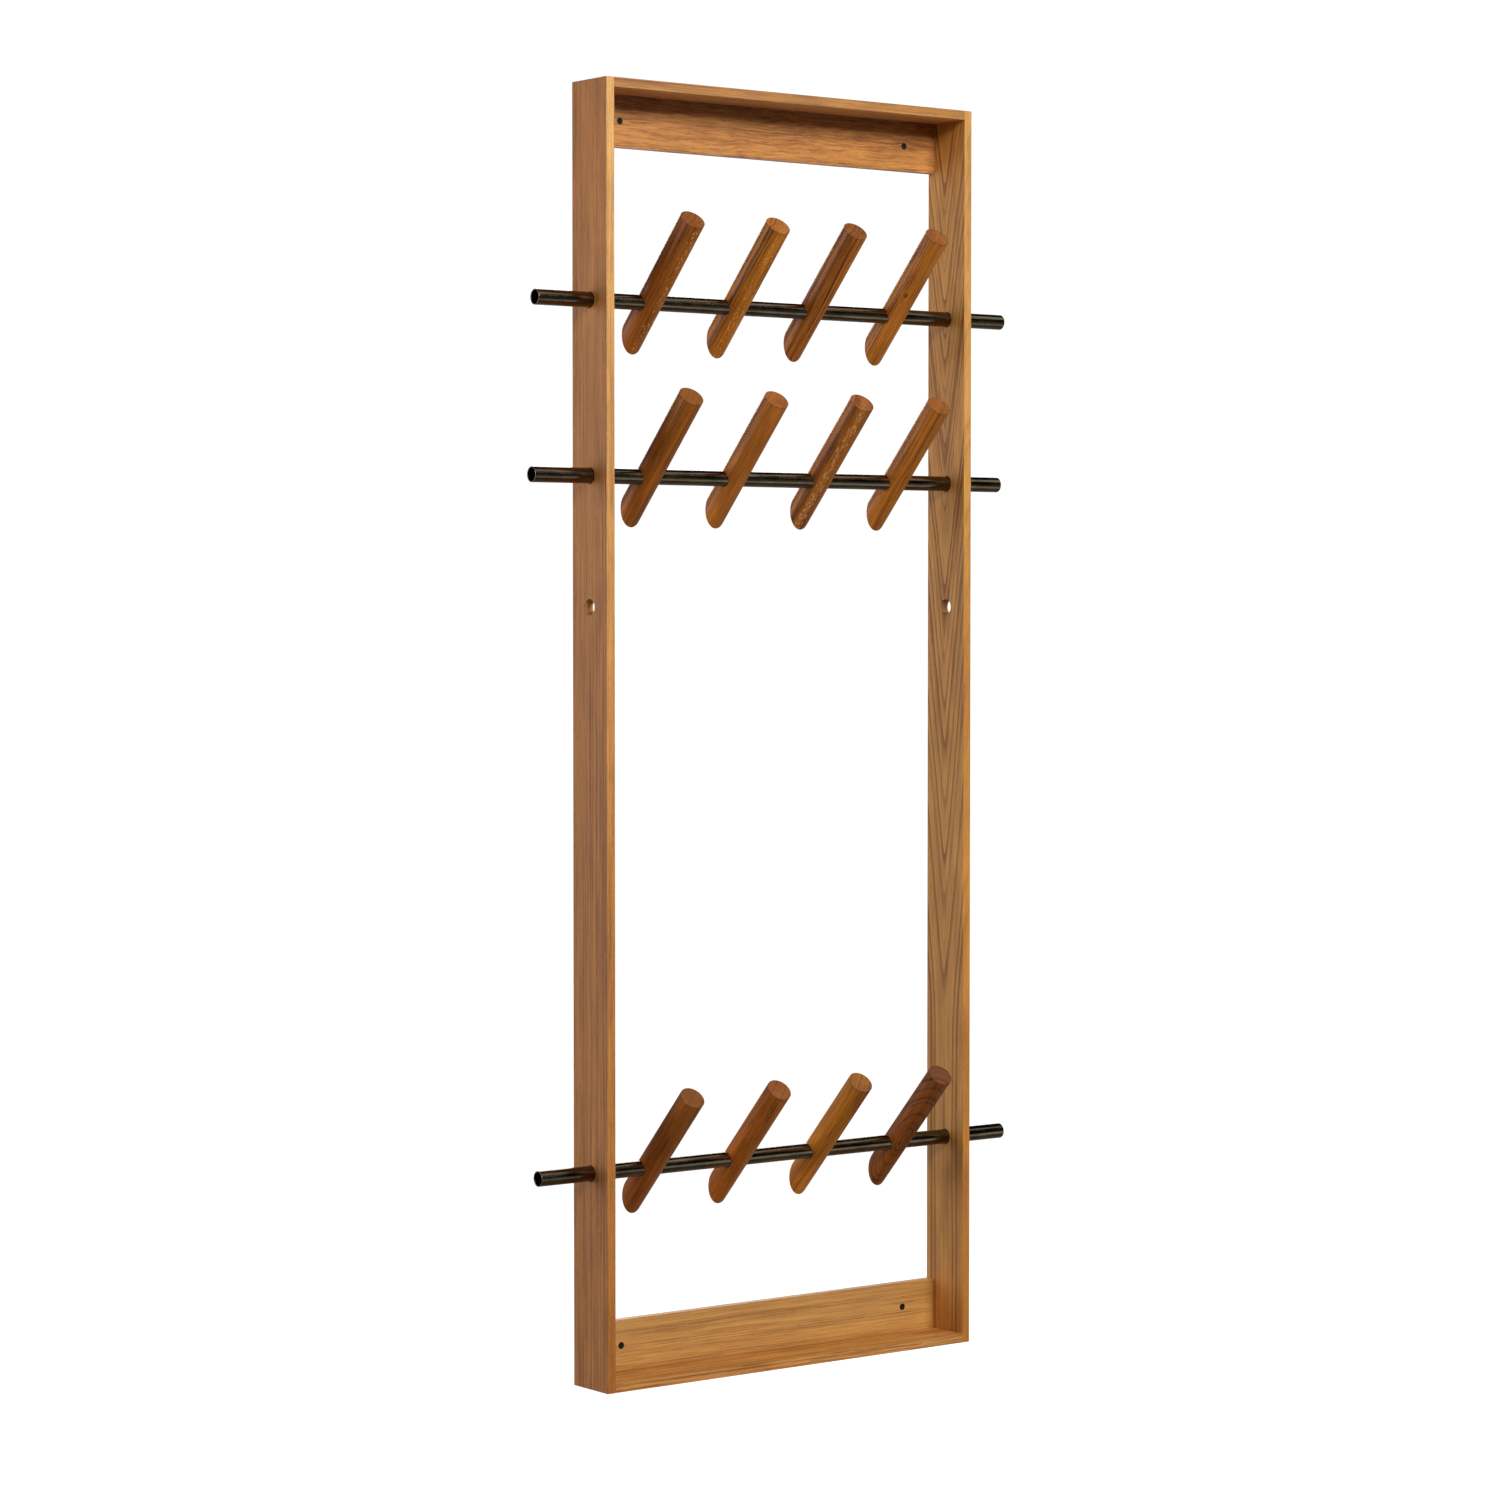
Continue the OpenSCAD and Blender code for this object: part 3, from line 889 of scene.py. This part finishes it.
floor = stage_piece(
    "floor",
    lambda mesh: bmesh.ops.create_circle(mesh, cap_ends=True, segments=96, radius=FLOOR_RADIUS),
    pale_material("pale_floor", FLOOR_GLOW, FLOOR_PAINT),
)
floor.location = (0, 0, cad_low.z - FLOOR_DROP)
stage_piece(
    "backdrop",
    lambda mesh: bmesh.ops.create_icosphere(mesh, subdivisions=4, radius=BACKDROP_RADIUS),
    pale_material("white_backdrop", BACKDROP_GLOW, BACKDROP_PAINT),
)

world = bpy.data.worlds.new("studio")
bpy.context.scene.world = world
world.use_nodes = True
sky = world.node_tree
direction = sky.nodes.new("ShaderNodeTexCoord")
heading = sky.nodes.new("ShaderNodeSeparateXYZ")
sky.links.new(direction.outputs["Generated"], heading.inputs[0])


def sky_span(value, low, high, to_low, to_high):
    """Maps value from low..high to to_low..to_high, held at the ends."""
    node = sky.nodes.new("ShaderNodeMapRange")
    for socket, number in ((1, low), (2, high), (3, to_low), (4, to_high)):
        node.inputs[socket].default_value = number
    sky.links.new(value, node.inputs[0])
    return node.outputs[0]


def sky_math(operation, a, b):
    """One sum or product of two sockets."""
    node = sky.nodes.new("ShaderNodeMath")
    node.operation = operation
    sky.links.new(a, node.inputs[0])
    sky.links.new(b, node.inputs[1])
    return node.outputs[0]


# Light comes up from a pale floor, and from a pale wall behind the object as far as its top edge
floor_glow = sky_span(heading.outputs[2], -0.12, 0.06, 0.16, 0.003)
wall_glow = sky_span(heading.outputs[1], 0.0, 0.40, 0.0, 0.15)
wall_top = sky_span(heading.outputs[2], 0.10, 0.40, 1.0, 0.0)
glow = sky_math("ADD", floor_glow, sky_math("MULTIPLY", wall_glow, wall_top))
sky.links.new(glow, sky.nodes["Background"].inputs["Strength"])
sky.nodes["Background"].inputs["Color"].default_value = (1.0, 0.98, 0.96, 1)

# name: (place, width, height, watts) in metres; all of them point at the frame's origin
LIGHTS = {
    "key_front": ((0.4, -3.2, 2.0), 1.1, 1.1, 114),
    "key_left": ((-1.5, -3.2, 2.1), 1.1, 1.1, 76),
    "behind_left": ((-3.6, 1.8, 0.4), 2.6, 2.4, 66),
    "fill_right": ((3.4, -0.5, 0.5), 1.5, 1.5, 9),
    "behind_right": ((1.6, 3.2, 1.2), 2.0, 2.0, 45),
    "ceiling_right": ((1.9, -1.1, 2.4), 1.6, 1.6, 8),
    "floor_bounce": ((1.7, -1.7, -1.1), 1.3, 1.0, 3),
}
# The lights behind the object shade it softly but hardly show as reflections
BEHIND_SHINE = 0.15


def area_light(name, place, width, height, watts):
    """A soft rectangular lamp that points at the origin and doesn't show itself."""
    light = bpy.data.lights.new(name, "AREA")
    light.shape = "RECTANGLE"
    light.size, light.size_y = width, height
    light.energy = watts
    light.specular_factor = BEHIND_SHINE if name.startswith("behind") else 1.0
    lamp = bpy.data.objects.new(name, light)
    bpy.context.scene.collection.objects.link(lamp)
    lamp.location = place
    lamp.rotation_euler = (-Vector(place)).to_track_quat("-Z", "Y").to_euler()
    lamp.visible_camera = False


for name, settings in LIGHTS.items():
    area_light(name, *settings)

bpy.context.scene.view_settings.view_transform = "Standard"
